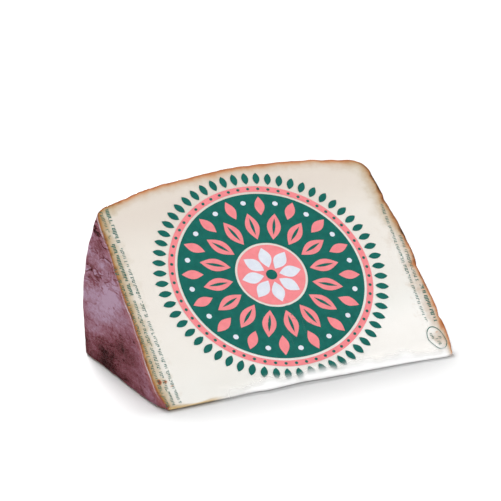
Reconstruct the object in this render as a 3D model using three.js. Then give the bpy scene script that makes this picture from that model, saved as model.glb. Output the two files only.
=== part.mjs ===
// A wedge cut from a small wheel of mixed milk cheese, in its tight clear wrap.
// Millimetres, +Z up. X runs along the wheel's axis, from rind face to rind face.
// The wedge lies on one cut face; the other cut face slopes up and back from the tip edge.
import * as THREE from "three";

// The wheel the wedge was cut from.
const WHEEL_HEIGHT = 110; // between the two flat rind faces, at the axis
const RIM_RADIUS = 80.6; // axis to the rim, where flat face and heel would meet
const HEEL_BULGE = 8; // how far the heel swells out between the two rims
const HEEL_CREST = 3; // where along X the heel swells most
const FACE_DOME = 2.9; // how much lower each flat face is at its rim than at its axis
const RIM_ROUND_LEFT = 3.2;
const RIM_ROUND_RIGHT = 4.8;

// The cuts.
const WEDGE_ANGLE = THREE.MathUtils.degToRad(45); // an eighth of the wheel
const CUT_EDGE_ROUND = 0.9; // where a cut face meets the rind
const TIP_ROUND_ENDS = 1.5;
const TIP_ROUND_MIDDLE = 2.8; // the thin edge is crushed most halfway along

// The rind's relief.
const RIND_SWELL = 0.28; // soft swells all over the rind
const RIND_SWELL_LENGTH = 26;
const RIM_NOTCHES = [
  // the nicks along the right rim, placed by their distance from the axis
  { radius: 16, depth: 0.55 },
  { radius: 37, depth: 0.45 },
  { radius: 47, depth: 0.15 },
  { radius: 65, depth: 0.55 },
];
const RIM_NOTCH_WIDTH = 1.7;
const RIM_NOTCH_DRIFT = 2.5; // how far a nick wanders as it runs over the rind
const RIGHT_SWELL = { radius: 43.5, height: 0.75, reach: 9 };
const SHOULDER = { radius: 79, turn: 0.33, height: 1.6, reach: 13, spread: 0.42 }; // left rim
const HOLLOW = { radius: 86.5, turn: 0.45, height: -1.3, reach: 7, spread: 0.06 }; // above it
const HOLLOW_OVER_HEEL = 18; // how far along X the hollow runs on over the heel
const TIP_CORNER_FALL = 1.7; // how far the rind faces draw in where they meet the tip edge
const TIP_CORNER_REACH = 5;

// The wrap, which is tight but for a lip and a roll of slack film along the tip edge.
const WRAP_STANDOFF = 0.4; // the film's outside, from the cheese
const TIP_LIP = 1; // how far it stands out from the cut face at the tip edge itself
const TIP_LIP_REACH = 5.5;
const TIP_DIPS = [
  // where the lip is drawn in between the folds
  { x: -23, depth: 0.7, reach: 5 },
  { x: -3, depth: 0.6, reach: 8 },
];
const CORNER_TUCK = { x: 50, height: 0.9, reach: 8 }; // the fold at the lip's right end
const ROLL_HEIGHT = 0.45; // how far it stands out from the cut face
const ROLL_REACH = 4.2; // from the tip edge up to its crest
const ROLL_WIDTH = 2.2;
const ROLL_START = -34; // it begins this far along X and runs to the right end
const ROLL_RIPPLE = 0.2;
const ROLL_RIPPLE_LENGTH = 21;

// How finely the surface is divided.
const TIP_ROWS = [0, 0.8, 1.8, 3.2, 5, 7.5, 10.5]; // along each cut face from the tip edge
const EDGE_ROWS = [8, 4.6, 2.4, 1, 0.3]; // the last rows before a cut face meets the heel
const CUT_ROWS_BETWEEN = 17;
const HEEL_ROWS = 26;
const COLUMN_EDGE_STEPS = [0, 0.5, 1.4, 2.8, 4.8, 7.6, 11.5]; // from each rim along X
const COLUMNS_BETWEEN = 20;
const ARC_CROWDING = 0.09; // how strongly the rows of an arc gather at the cut faces
const SPINE_HALF_LENGTH = 32; // half of the straight line inside that the surface is seen from

const GOLDEN_TURN = Math.PI * (3 - Math.sqrt(5));
const WAVES = 7;

// Soft undulation, about -1 to 1, of waves that run in evenly spread directions.
function undulation(x, y, z, wavelength, seed) {
  let sum = 0;
  for (let k = 1; k <= WAVES; k += 1) {
    const rise = 1 - (2 * k - 1) / WAVES;
    const flat = Math.sqrt(1 - rise * rise);
    const turn = GOLDEN_TURN * k + seed;
    const along = flat * (x * Math.cos(turn) + y * Math.sin(turn)) + rise * z;
    const length = wavelength * (1 + 0.35 * Math.sin(seed + 2.4 * k));
    sum += Math.sin((2 * Math.PI * along) / length + seed * k);
  }
  return sum / Math.sqrt(2 * WAVES);
}

// The distance outside the overlap of two bodies, with the edge between them rounded.
function roundedOverlap(a, b, radius) {
  const reachA = Math.max(a + radius, 0);
  const reachB = Math.max(b + radius, 0);
  return Math.min(Math.max(a, b) + radius, 0) + Math.hypot(reachA, reachB) - radius;
}

function bell(distance, width) {
  return Math.exp(-((distance / width) ** 2));
}

function faceHalfHeight(r) {
  return WHEEL_HEIGHT / 2 - FACE_DOME * (r / RIM_RADIUS) ** 2;
}

function heelRadius(x) {
  return RIM_RADIUS + HEEL_BULGE * (1 - ((x - HEEL_CREST) / (WHEEL_HEIGHT / 2)) ** 2);
}

// How far the right rind face stands out of its dome: a swell, cut by nicks.
function rightRelief(r, turn) {
  let relief = RIGHT_SWELL.height * bell(r - RIGHT_SWELL.radius, RIGHT_SWELL.reach);
  RIM_NOTCHES.forEach(({ radius, depth }, k) => {
    const wander = RIM_NOTCH_DRIFT * (Math.sin(4 * (turn - WEDGE_ANGLE) + k) - Math.sin(k));
    relief -= depth * bell(r - radius - wander, RIM_NOTCH_WIDTH);
  });
  return relief;
}

// The height of a rise or hollow on the left rind face.
function onLeftFace(place, r, turn) {
  const across = bell(r - place.radius, place.reach);
  return place.height * across * bell(turn - place.turn, place.spread);
}

function leftRelief(r, turn) {
  return onLeftFace(SHOULDER, r, turn) + onLeftFace(HOLLOW, r, turn);
}

// How far the hollow on the left face runs on over the heel.
function heelHollow(x, r, turn) {
  return onLeftFace(HOLLOW, r, turn) * bell(x + WHEEL_HEIGHT / 2, HOLLOW_OVER_HEEL);
}

// How far a point is outside the wheel.
function outsideWheel(x, y, z) {
  const r = Math.hypot(y, z);
  const turn = Math.atan2(z, y);
  const swell = RIND_SWELL * undulation(x, y, z, RIND_SWELL_LENGTH, 1.7);
  const relief = x > 0 ? rightRelief(r, turn) : leftRelief(r, turn);
  const drawnIn = TIP_CORNER_FALL * bell(r, TIP_CORNER_REACH);
  const face = Math.abs(x) - faceHalfHeight(r) - swell - relief + drawnIn;
  const heel = r - heelRadius(x) - swell - (x > 0 ? 0 : heelHollow(x, r, turn));
  const rimRound = x > 0 ? RIM_ROUND_RIGHT : RIM_ROUND_LEFT;
  return roundedOverlap(face, heel, rimRound) - WRAP_STANDOFF;
}

// How far the slack film stands out from the sloping cut face.
function slackFilm(x, upTheFace) {
  let edge = TIP_LIP + CORNER_TUCK.height * bell(x - CORNER_TUCK.x, CORNER_TUCK.reach);
  TIP_DIPS.forEach((dip) => {
    edge -= dip.depth * bell(x - dip.x, dip.reach);
  });
  const lip = edge * bell(upTheFace, TIP_LIP_REACH);
  const start = THREE.MathUtils.smoothstep(x, ROLL_START, ROLL_START + 20);
  const ripple = ROLL_RIPPLE * Math.sin((2 * Math.PI * x) / ROLL_RIPPLE_LENGTH);
  const roll = start * (ROLL_HEIGHT + ripple) * bell(upTheFace - ROLL_REACH, ROLL_WIDTH);
  return lip + roll;
}

// How far a point is outside the two cuts, which meet at the tip edge.
function outsideCuts(x, y, z) {
  const upTheFace = y * Math.cos(WEDGE_ANGLE) + z * Math.sin(WEDGE_ANGLE);
  const offTheFace = z * Math.cos(WEDGE_ANGLE) - y * Math.sin(WEDGE_ANGLE);
  const slope = offTheFace - WRAP_STANDOFF - slackFilm(x, upTheFace);
  const middle = Math.cos((Math.PI * x) / WHEEL_HEIGHT) ** 2;
  const tipRound = THREE.MathUtils.lerp(TIP_ROUND_ENDS, TIP_ROUND_MIDDLE, middle);
  return roundedOverlap(slope, -z, tipRound);
}

function outsideWedge(x, y, z) {
  return roundedOverlap(outsideWheel(x, y, z), outsideCuts(x, y, z), CUT_EDGE_ROUND);
}

// Distances along a cut face from the tip edge, close together at both ends.
function cutFaceRows() {
  const first = TIP_ROWS.at(-1);
  const last = 1 - EDGE_ROWS[0] / RIM_RADIUS;
  const rows = TIP_ROWS.map((row) => row / RIM_RADIUS);
  for (let k = 1; k <= CUT_ROWS_BETWEEN; k += 1) {
    rows.push(THREE.MathUtils.lerp(first / RIM_RADIUS, last, k / (CUT_ROWS_BETWEEN + 1)));
  }
  return rows.concat(EDGE_ROWS.map((row) => 1 - row / RIM_RADIUS));
}

// The angle of a place on an arc round the axis, from the sloping cut face (0) to the other
// (1), with the places crowded towards both ends.
function arcAngle(even) {
  return WEDGE_ANGLE * (1 - even + ARC_CROWDING * Math.sin(2 * Math.PI * even));
}

// The wedge's outline across the axis, as [share of the heel's radius, angle] pairs:
// up the sloping face, down the heel and back along the face it lies on.
function outline() {
  const rows = cutFaceRows();
  const pairs = rows.map((share) => [share, WEDGE_ANGLE]);
  for (let k = 0; k <= HEEL_ROWS; k += 1) pairs.push([1, arcAngle(k / HEEL_ROWS)]);
  rows
    .slice(1)
    .reverse()
    .forEach((share) => pairs.push([share, 0]));
  return pairs;
}

// Places along X from -1 at the left rim to 1 at the right rim.
function columns() {
  const half = WHEEL_HEIGHT / 2;
  const left = COLUMN_EDGE_STEPS.map((step) => step / half - 1);
  const inner = left.at(-1);
  const between = [];
  for (let k = 1; k <= COLUMNS_BETWEEN; k += 1) {
    between.push(THREE.MathUtils.lerp(inner, -inner, k / (COLUMNS_BETWEEN + 1)));
  }
  const right = left.map((place) => -place).reverse();
  return [...left, ...between, ...right];
}

// The middle of the wedge's section, from which every part of the outline is in sight.
const MIDDLE = (() => {
  const reach = 0.62 * RIM_RADIUS;
  return { y: reach * Math.cos(WEDGE_ANGLE / 2), z: reach * Math.sin(WEDGE_ANGLE / 2) };
})();

// Moves a point in or out, along its line of sight from the spine, onto the surface.
function ontoSurface(point) {
  const from = new THREE.Vector3(
    THREE.MathUtils.clamp(point.x, -SPINE_HALF_LENGTH, SPINE_HALF_LENGTH),
    MIDDLE.y,
    MIDDLE.z,
  );
  const at = new THREE.Vector3();
  let inside = 0.5;
  let outside = 1.2;
  for (let step = 0; step < 44; step += 1) {
    const share = (inside + outside) / 2;
    at.lerpVectors(from, point, share);
    if (outsideWedge(at.x, at.y, at.z) < 0) inside = share;
    else outside = share;
  }
  at.lerpVectors(from, point, inside);
  if (Math.abs(at.z) < 1e-5) at.z = 0;
  return at;
}

// Triangles between two rows of points, each a list of indices that runs the same way.
function zip(near, far, add) {
  let i = 0;
  let j = 0;
  while (i < near.length - 1 || j < far.length - 1) {
    const nextNear = (i + 1) / Math.max(near.length - 1, 1);
    const nextFar = (j + 1) / Math.max(far.length - 1, 1);
    if (j === far.length - 1 || (i < near.length - 1 && nextNear < nextFar)) {
      add(near[i], near[i + 1], far[j]);
      i += 1;
    } else {
      add(near[i], far[j + 1], far[j]);
      j += 1;
    }
  }
}

function wedgeGeometry() {
  const rows = cutFaceRows();
  const pairs = outline();
  const places = columns();
  const points = [];
  const triangles = [];

  const addPoint = (place, share, angle) => {
    const r = share * heelRadius(place * (WHEEL_HEIGHT / 2));
    const sharp = new THREE.Vector3(
      place * faceHalfHeight(r),
      r * Math.cos(angle),
      r * Math.sin(angle),
    );
    return points.push(ontoSurface(sharp)) - 1;
  };

  // The cut faces and the heel, as rings round the outline joined along X.
  const rings = places.map((place) => pairs.map(([share, angle]) => addPoint(place, share, angle)));
  rings.slice(1).forEach((ring, k) => {
    const before = rings[k];
    ring.forEach((b, j) => {
      const next = (j + 1) % ring.length;
      triangles.push(before[j], ring[next], before[next]);
      triangles.push(before[j], b, ring[next]);
    });
  });

  // A rind face, as arcs round the axis from the tip edge out to the heel.
  const addFace = (place, ring, turned) => {
    const arcs = rows.map((share, k) => {
      if (k === 0) return [ring[0]];
      const steps = Math.max(1, Math.round(HEEL_ROWS * share));
      const arc = [ring[k]];
      for (let step = 1; step < steps; step += 1) {
        arc.push(addPoint(place, share, arcAngle(step / steps)));
      }
      arc.push(ring[ring.length - k]);
      return arc;
    });
    arcs.push(ring.slice(rows.length, rows.length + HEEL_ROWS + 1));
    const add = (a, b, c) => triangles.push(...(turned ? [a, c, b] : [a, b, c]));
    arcs.slice(1).forEach((arc, k) => zip(arcs[k], arc, add));
  };
  addFace(-1, rings[0], true);
  addFace(1, rings.at(-1), false);

  const geometry = new THREE.BufferGeometry().setFromPoints(points);
  geometry.setIndex(triangles);
  geometry.computeVertexNormals();
  return geometry;
}

// The origin goes under the middle of the wedge, on the surface it lies on.
function centredOnFootprint(geometry) {
  geometry.computeBoundingBox();
  const { min, max } = geometry.boundingBox;
  return geometry.translate(-(min.x + max.x) / 2, -(min.y + max.y) / 2, -min.z);
}

const cheese = new THREE.Mesh(
  centredOnFootprint(wedgeGeometry()),
  new THREE.MeshStandardMaterial({ color: 0xece4d6, roughness: 0.35, metalness: 0 }),
);
cheese.name = "cheese_wedge";

const group = new THREE.Group();
group.add(cheese);
export default group;
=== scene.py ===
"""Mixed milk cheese: a wedge of a small wheel in a tight, clear, printed wrap, lying on one cut face."""
import math

import bpy
import numpy as np
from mathutils import Matrix, Vector


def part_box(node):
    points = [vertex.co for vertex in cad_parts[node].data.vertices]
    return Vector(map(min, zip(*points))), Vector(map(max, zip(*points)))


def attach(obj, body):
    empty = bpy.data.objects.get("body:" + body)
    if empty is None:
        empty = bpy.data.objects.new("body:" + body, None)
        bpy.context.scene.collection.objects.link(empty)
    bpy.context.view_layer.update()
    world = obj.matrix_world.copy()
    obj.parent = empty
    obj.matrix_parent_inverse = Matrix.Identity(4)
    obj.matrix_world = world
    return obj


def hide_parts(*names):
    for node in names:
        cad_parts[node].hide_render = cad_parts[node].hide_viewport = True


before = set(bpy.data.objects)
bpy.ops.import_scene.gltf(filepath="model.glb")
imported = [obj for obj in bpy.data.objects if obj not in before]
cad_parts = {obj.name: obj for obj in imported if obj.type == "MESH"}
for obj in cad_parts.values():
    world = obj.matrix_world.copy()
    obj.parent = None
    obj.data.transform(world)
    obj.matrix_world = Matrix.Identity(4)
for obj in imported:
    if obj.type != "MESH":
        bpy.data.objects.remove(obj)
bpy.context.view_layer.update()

MM = 0.001
NODE = "cheese_wedge"

# ---------------------------------------------------------------- sizes, in millimetres
# All shapes are worked out round the wheel's axis: X along it, the tip edge on it, Z up.
WHEEL_HEIGHT = 110.0
RIM_RADIUS = 80.6
HEEL_BULGE = 8.0
HEEL_CREST = 3.0
FACE_DOME = 2.9
RIM_ROUND_LEFT = 3.2
RIM_ROUND_RIGHT = 4.8
WEDGE_ANGLE = math.radians(45)

RIND_SWELL = 0.28
RIND_SWELL_LENGTH = 26.0
RIM_NOTCHES = ((16.0, 0.55), (37.0, 0.45), (47.0, 0.15), (65.0, 0.55))  # radius, depth
RIM_NOTCH_WIDTH = 1.7
RIM_NOTCH_DRIFT = 2.5
SHOULDER = {"radius": 79.0, "turn": 0.33, "height": 1.6, "reach": 13.0, "spread": 0.42}
HOLLOW = {"radius": 86.5, "turn": 0.45, "depth": 1.3, "reach": 7.0, "spread": 0.06}
RIGHT_SWELL = {"radius": 43.5, "height": 0.75, "reach": 9.0}
TIP_CORNER_FALL = 1.7
TIP_CORNER_REACH = 5.0

# The wrap outside the cheese, tight but for a lip and a roll of slack film at the tip edge.
WRAP_STANDOFF = 0.4
TIP_LIP = 1.0
TIP_LIP_REACH = 5.5
CORNER_TUCK = {"x": 50.0, "height": 0.9, "reach": 8.0}
ROLL_HEIGHT = 0.45
ROLL_REACH = 4.2
ROLL_WIDTH = 2.2
ROLL_START = -34.0
ROLL_RIPPLE = 0.2
ROLL_RIPPLE_LENGTH = 21.0

TIP_DIPS = ((-23.0, 5.0, 0.7), (-3.0, 8.0, 0.6))  # where along X, how wide, how deep
WRAP_EDGES = {"cut": 0.9, "tip_ends": 1.5, "tip_middle": 2.8}
CHEESE_EDGES = {"cut": 0.6, "tip_ends": 1.4, "tip_middle": 2.7}
TIP_CORNER_ROUND = 0.8  # how much rounder the right corner of the tip edge is

# Creases of the film over the print, side by side.
CREASE_COUNT = 11
CREASE_START = -9.0
CREASE_STEP = 3.4
CREASE_HEIGHT = 0.34
CREASE_WIDTH = 0.7

CHEESE_STANDOFF = 0.1  # the cheese fills its wrap to this far from the wheel's true outline
LIP_FILL = 0.85  # how much of the film's lip and roll the soft tip of the paste fills
CHEESE_FLOOR_GAP = 0.18  # the wrap's thickness and creases under the wedge
INK_DEPTH = 0.14  # below the film's outer face
INK_STEP = 0.03  # each layer of ink lies this far outside the one it's printed on

GOLDEN_TURN = math.pi * (3 - math.sqrt(5))
WAVES = 7


# ---------------------------------------------------------------- shape
def undulation(x, y, z, wavelength, seed):
    """Soft undulation, about -1 to 1, of waves that run in evenly spread directions."""
    total = 0.0
    for k in range(1, WAVES + 1):
        rise = 1 - (2 * k - 1) / WAVES
        flat = math.sqrt(1 - rise * rise)
        turn = GOLDEN_TURN * k + seed
        along = flat * (x * math.cos(turn) + y * math.sin(turn)) + rise * z
        length = wavelength * (1 + 0.35 * math.sin(seed + 2.4 * k))
        total = total + np.sin(2 * math.pi * along / length + seed * k)
    return total / math.sqrt(2 * WAVES)


def rounded_overlap(a, b, radius):
    """Distance outside the overlap of two bodies, with the edge between them rounded."""
    reach = np.hypot(np.maximum(a + radius, 0), np.maximum(b + radius, 0))
    return np.minimum(np.maximum(a, b) + radius, 0) + reach - radius


def bell(distance, width):
    """1 where distance is 0, and almost 0 twice the width away on both sides."""
    return np.exp(-((distance / width) ** 2))


def smooth(value, low, high):
    """0 where value is low, 1 where it's high, and an even rise between."""
    share = np.clip((value - low) / (high - low), 0, 1)
    return share * share * (3 - 2 * share)


def face_half_height(r):
    """Half the wheel's height at a radius, least at the rim."""
    return WHEEL_HEIGHT / 2 - FACE_DOME * (r / RIM_RADIUS) ** 2


def heel_radius(x):
    """The wheel's radius along its height, largest near the middle."""
    return RIM_RADIUS + HEEL_BULGE * (1 - ((x - HEEL_CREST) / (WHEEL_HEIGHT / 2)) ** 2)


def rim_notches(r, turn):
    """How deep the notches down the right edge of the cut are, as they run over the rind."""
    depth = 0.0
    for k, (radius, notch) in enumerate(RIM_NOTCHES):
        wander = RIM_NOTCH_DRIFT * (np.sin(4 * (turn - WEDGE_ANGLE) + k) - math.sin(k))
        depth = depth + notch * bell(r - radius - wander, RIM_NOTCH_WIDTH)
    return depth


def on_left_face(place, r, turn):
    """How much of a shoulder or hollow there is at a point of the left face, 0 to 1."""
    return bell(r - place["radius"], place["reach"]) * bell(turn - place["turn"], place["spread"])


def left_relief(r, turn):
    """The left face's shoulder near the heel, less the hollow above it."""
    return SHOULDER["height"] * on_left_face(SHOULDER, r, turn) - hollow(r, turn)


def hollow(r, turn):
    """How deep the left face is pressed in where it meets the heel."""
    return HOLLOW["depth"] * on_left_face(HOLLOW, r, turn)


def right_relief(r, turn):
    """The right face's swell halfway up, less its notches."""
    swell = RIGHT_SWELL["height"] * bell(r - RIGHT_SWELL["radius"], RIGHT_SWELL["reach"])
    return swell - rim_notches(r, turn)


def rind_grain(x, y, z):
    """Fine lumps and creases of the rind, which the tight film follows."""
    lumps = np.where(x > 0, 0.22, 0.1) * undulation(x, y, z, 6.5, 4.1)
    return lumps + 0.07 * undulation(x, 0.45 * y, z, 3.1, 2.3)


def outside_wheel(x, y, z, standoff):
    """Distance outside the whole wheel, with its rind and what stands off it; less than 0 inside."""
    r = np.hypot(y, z)
    turn = np.arctan2(z, y)
    swell = RIND_SWELL * undulation(x, y, z, RIND_SWELL_LENGTH, 1.7) + rind_grain(x, y, z)
    relief = np.where(x > 0, right_relief(r, turn), left_relief(r, turn))
    drawn_in = TIP_CORNER_FALL * bell(r, TIP_CORNER_REACH)
    face = np.abs(x) - face_half_height(r) - swell - relief + drawn_in
    heel = r - heel_radius(x) - swell + np.where(x > 0, 0.0, hollow(r, turn) * bell(x + 55, 18))
    rim_round = np.where(x > 0, RIM_ROUND_RIGHT, RIM_ROUND_LEFT)
    return rounded_overlap(face, heel, rim_round) - standoff


def slack_film(x, up_the_face):
    """How far the slack film at the tip edge stands out from the sloping cut face."""
    edge = TIP_LIP + CORNER_TUCK["height"] * bell(x - CORNER_TUCK["x"], CORNER_TUCK["reach"])
    for place, width, depth in TIP_DIPS:
        edge = edge - depth * bell(x - place, width)
    lip = edge * bell(up_the_face, TIP_LIP_REACH)
    start = smooth(x, ROLL_START, ROLL_START + 20)
    ripple = ROLL_RIPPLE * np.sin(2 * math.pi * x / ROLL_RIPPLE_LENGTH)
    roll = start * (ROLL_HEIGHT + ripple) * bell(up_the_face - ROLL_REACH, ROLL_WIDTH)
    return lip + roll


def tip_round(x, edges):
    """How round the tip edge is, most in its middle."""
    share = np.cos(math.pi * x / WHEEL_HEIGHT) ** 2
    return edges["tip_ends"] + (edges["tip_middle"] - edges["tip_ends"]) * share


def corner_round(x, up):
    """How much rounder the tip edge's right corner is than the other edges."""
    return TIP_CORNER_ROUND * bell(up, 5) * smooth(x, 30, 45)


def on_slope(y, z):
    """Distances up the sloping cut face and out from it."""
    cosine, sine = math.cos(WEDGE_ANGLE), math.sin(WEDGE_ANGLE)
    return y * cosine + z * sine, z * cosine - y * sine


def outside_wrap(x, y, z):
    """Distance outside the film, less than 0 inside."""
    up, off = on_slope(y, z)
    slope = off - WRAP_STANDOFF - slack_film(x, up) - film_creases(x, up) - crinkles(x, up)
    cuts = rounded_overlap(slope, -z, tip_round(x, WRAP_EDGES))
    wheel = outside_wheel(x, y, z, WRAP_STANDOFF)
    return rounded_overlap(wheel, cuts, WRAP_EDGES["cut"] + corner_round(x, up))


def outside_cheese(x, y, z):
    """Distance outside the cheese, less than 0 inside."""
    up, off = on_slope(y, z)
    wheel = outside_wheel(x, y, z, CHEESE_STANDOFF)
    slope = off - CHEESE_STANDOFF - LIP_FILL * slack_film(x, up) - crinkles(x, up)
    cuts = rounded_overlap(slope, CHEESE_FLOOR_GAP - z, tip_round(x, CHEESE_EDGES))
    return rounded_overlap(wheel, cuts, CHEESE_EDGES["cut"] + corner_round(x, up))


def creases():
    """The film's creases over the print: where each is, how it leans and how large it is."""
    draw = np.random.default_rng(7)
    for k in range(CREASE_COUNT):
        yield {
            "x": CREASE_START + CREASE_STEP * k + draw.uniform(-1, 1),
            "up": draw.uniform(12, 30),
            "half": draw.uniform(6, 13),
            "lean": draw.uniform(-0.16, 0.1),
            "height": CREASE_HEIGHT * draw.uniform(0.4, 1.0),
            "width": CREASE_WIDTH * draw.uniform(0.7, 1.4),
        }


CREASES = list(creases())


def film_creases(x, up):
    """How far the film's creases over the print stand off the cut face."""
    height = 0.0
    for crease in CREASES:
        across = x - crease["x"] - crease["lean"] * (up - crease["up"])
        along = bell(up - crease["up"], crease["half"])
        height = height + crease["height"] * along * bell(across, crease["width"])
    return height


def crinkles(x, up):
    """Small crinkles of the slack film and of the soft paste under it, off the cut face."""
    slack = bell(up - 4, 4.5) * smooth(x, ROLL_START - 6, ROLL_START + 22)
    broad = 0.12 * undulation(x, up * 1.4, 0 * x, 7.5, 3.3)
    return slack * (broad + 0.06 * undulation(x, up, 0 * x, 3.6, 5.9))


def milk_and_highlight_strip(x, up):
    """Where the slack film lies in layers along the tip edge and is white, 0 to 1: the milkiness of the
    folded film and a painted highlight along its roll.
    """
    limit = 3.3 + 0.6 * np.sin(x / 2.7 + 1) + 0.3 * np.sin(x / 1.16 + 2) - 2 * smooth(x, 34, 46)
    ends = smooth(x, ROLL_START - 6, ROLL_START + 18) * smooth(x, 52.5, 49.5)
    return ends * smooth(up, limit + 2.2, limit - 2.2)


def painted_ridge_highlight(x, y, z):
    """A painted highlight: the thin white line where the film is stretched over the left edge of the
    cut, 0 to 1.
    """
    _, off = on_slope(y, z)
    from_rind = -outside_wheel(x, y, z, WRAP_STANDOFF)
    line = bell(from_rind - 0.2, 0.16) * bell(off - WRAP_STANDOFF + 0.3, 0.2) * (x < 0)
    return line * (0.3 + 0.25 * undulation(x, y, z, 14, 3.7))


def film_lie(x, y, z):
    """What the film's material reads at each point: where it's milky, where a highlight is painted on as
    white, and where it lies on rind.
    """
    up, _ = on_slope(y, z)
    on_rind = smooth(-outside_wheel(x, y, z, WRAP_STANDOFF), 1.2, 0.2)
    return {
        # The white of the milky strip and of the painted highlights goes in one attribute.
        "slack": np.maximum(milk_and_highlight_strip(x, up), painted_ridge_highlight(x, y, z)),
        "over_rind": on_rind * (0.35 + 0.65 * smooth(x, -46, -51)),
    }


# ---------------------------------------------------------------- how the cheese has aged, and the light and shade painted on it
def spots(y, z, places):
    """Soft spots on a flat rind face: (y, z, reach along y, reach along z, strength)."""
    total = 0.0
    for place_y, place_z, reach_y, reach_z, strength in places:
        total = total + strength * bell(y - place_y, reach_y) * bell(z - place_z, reach_z)
    return total


# Painted reflections on the left rind face, mixed with the rind's own uneven tone: pale lavender places
# (above 0) where the film would mirror the lit floor, and dark places (below 0) where it would mirror
# the floor's shadow.
LEFT_SHEEN_AND_SHADE = (
    (58, 22.5, 17, 8, 0.3), (54, 3.2, 10, 7, -0.43), (37, 13.5, 10, 6, -0.28), (11, 4.5, 8, 7, 0.28),
    (79, 4.5, 8, 8, -0.25), (66.5, 11, 10, 5, 0.2), (44.5, 30, 8, 6, 0.33), (52.5, 46.5, 4, 3.5, -0.17),
    (58, 51.5, 5, 4, -0.17),
)


def on_left_rind(x):
    """1 on the left rind face, 0 on the rest."""
    return smooth(x, -46, -50)


def rind_tone_and_painted_light(x, y, z):
    """How pale the rind is, 0 to 1: its own uneven tone, with painted sheen as pale places, painted
    shade as dark ones, and painted shade low down by the floor.
    """
    # Painted shade: the left face is darker low down, where its film would mirror the floor's shadow.
    on_left = 0.375 + 0.27 * smooth(z, 4, 24) + spots(y, z, LEFT_SHEEN_AND_SHADE)
    # Painted shade along the floor on the heel and the right face, under their own uneven tone.
    elsewhere = 0.3 + 0.17 * undulation(x, y, z, 36, 8.3) - 0.2 * bell(z, 4)
    left = on_left_rind(x)
    return np.clip(left * on_left + (1 - left) * elsewhere, 0, 1)


def rind_creasing(x, z):
    """How strongly the rind is creased, most in the upper third of the left face."""
    left = on_left_rind(x)
    return left * (0.25 + 0.75 * smooth(z, 24, 36)) + (1 - left) * 0.35


# Brown stains of the cut face: (x, up the face, reach along x, reach up, strength).
STAINS = (
    (-52.7, 11.2, 0.8, 1.2, 1.0),
    (-50.6, 11.0, 0.8, 0.8, 0.8),
    (-48.9, 8.9, 1.1, 0.55, 0.6),
    (50.9, 9.4, 0.8, 0.45, 0.5),
)


def brown_stain(x, y, z):
    """Brown stains on the sloping cut face, 0 to 1."""
    up, off = on_slope(y, z)
    total = 0.0
    for place, height, reach_x, reach_up, strength in STAINS:
        total = total + strength * bell(x - place, reach_x) * bell(up - height, reach_up)
    return np.clip(total, 0, 1) * (off > -4)


def tip_tan(x, z):
    """The tan that the rind's brine left along the tip edge, at its left, 0 to 0.85."""
    along = smooth(x, -55, -51) * smooth(x, -31, -38)
    return 0.85 * along * smooth(z, 1.6 + 0.4 * np.sin(x / 2.1), 0.8)


def ripeness_and_painted_light(x, up_the_face):
    """How deep the paste's ivory is, from 0 low at the right, to 1 at the heel: deeper up the face
    towards the heel, and paler at the lower right by painted light.
    """
    # Painted light: the lower right of the face is made paler.
    painted_light_low_right = smooth(x, 5, 42) * smooth(up_the_face, 34, 12)
    rising = 0.1 + 0.42 * up_the_face / 70 + 0.42 * smooth(up_the_face, 60, 80)
    return np.clip(rising - 0.0012 * x - 0.17 * painted_light_low_right, 0, 1)


# Dark patches down the right edge of the cut: (up the face, reach, strength).
EDGE_PATCHES = (
    (72.5, 5.0, 1.0), (61.0, 2.0, 0.5), (50.5, 3.4, 1.0), (41.0, 2.4, 0.7), (30.5, 4.0, 0.45),
)


def edge_patches(x, y, z):
    """Where the right edge of the cut is dark, 0 to 1."""
    total = 0.0
    for place, reach, strength in EDGE_PATCHES:
        total = total + strength * bell(np.hypot(y, z) - place, reach)
    _, off = on_slope(y, z)
    return total * (x > 0) * smooth(-off, 4, 0.8)


def edge_wobble(x, up_the_face):
    """How uneven the tan edge of the paste is, least along the heel."""
    lower_right = smooth(x, 36, 50) * smooth(up_the_face, 60, 40)
    return 0.4 + 0.25 * smooth(x, -40, -50) + 0.1 * smooth(x, 36, 50) + 0.4 * lower_right


def beside_cut(x, y, z):
    """How red the left rind is from being close to the cut, 0 to 0.6."""
    up, off = on_slope(y, z)
    return 0.6 * on_left_rind(x) * smooth(-off, 4.5, 0.4) * (0.3 + 0.7 * smooth(up, 60, 15))


def brown_line(x, y, z):
    """The brown line of the rind at the cut, along the heel and down the right, 0 to 0.55."""
    _, off = on_slope(y, z)
    return 0.55 * smooth(x, -50, -44) * smooth(-off, 2.0, 0.5)


def edge_side(x, up_the_face):
    """0 where the paste's edge is amber and narrow, 1 where it's wide and khaki."""
    upper_right = smooth(x, 40, 49) * smooth(up_the_face, 40, 58)
    return smooth(x, -40, -49) + 0.6 * upper_right


def edge_reach(x, up_the_face):
    """How many millimetres into the paste its tan edge fades out, 10 along most of it."""
    upper_right = smooth(x, 30, 45) * smooth(up_the_face, 46, 66)
    return 10 + 3 * bell(x - 2, 16) + 2.5 * upper_right


def ageing_and_painted_light(x, y, z):
    """All that the cheese's material reads at each point of its skin, by name."""
    up_the_face = np.hypot(y, z)
    return {
        "rind_depth": -outside_wheel(x, y, z, CHEESE_STANDOFF),
        "rind_tone_and_painted_light": rind_tone_and_painted_light(x, y, z),
        "rind_creasing": rind_creasing(x, z),
        "beside_cut": beside_cut(x, y, z),
        "brown_line": brown_line(x, y, z),
        "ripeness_and_painted_light": ripeness_and_painted_light(x, up_the_face),
        "edge_side": edge_side(x, up_the_face),
        "edge_reach": edge_reach(x, up_the_face),
        "edge_wobble": edge_wobble(x, up_the_face),
        "edge_patches": edge_patches(x, y, z),
        "brown_stain": brown_stain(x, y, z),
        "tip_tan": tip_tan(x, z),
    }


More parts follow.
